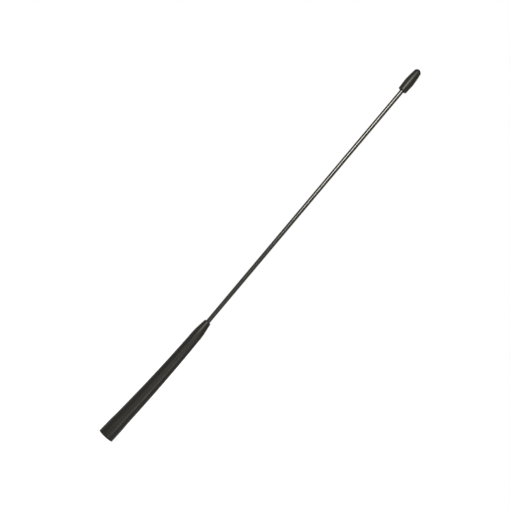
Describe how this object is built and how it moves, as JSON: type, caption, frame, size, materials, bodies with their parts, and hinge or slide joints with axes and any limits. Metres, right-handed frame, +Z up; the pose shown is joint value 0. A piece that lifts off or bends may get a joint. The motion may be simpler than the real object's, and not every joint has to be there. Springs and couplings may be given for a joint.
{
  "type": "car antenna mast",
  "caption": "Slim roof antenna mast for a car: a threaded foot in a bent, tapered rubber boot, a long sheathed rod and a bullet-shaped tip cap.",
  "frame": {"origin": "centre of the threaded foot, at its seat face", "axes": "+Z up the thread's axis; the mast leans towards -X above the boot's bend"},
  "size_m": [0.029, 0.0142, 0.4055],
  "materials": {
    "brass": "turned brass",
    "spring_steel": "oiled spring steel",
    "copper": "bare copper",
    "solder": "dull tin solder",
    "rubber": "matt moulded black rubber",
    "glass_fibre": "pultruded glass fibre",
    "sleeve_plastic": "smooth satin black shrink sleeve",
    "cap_plastic": "satin moulded black plastic"
  },
  "bodies": {
    "root": {"base_bush": "brass", "flex_spring": "spring_steel", "shunt_braid": "copper", "rod_socket": "brass", "boot": "rubber", "core_rod": "glass_fibre", "radiator_wire": "copper", "wire_solder": "solder", "rod_sleeve": "sleeve_plastic", "tip_cap": "cap_plastic"}
  },
  "joints": []
}
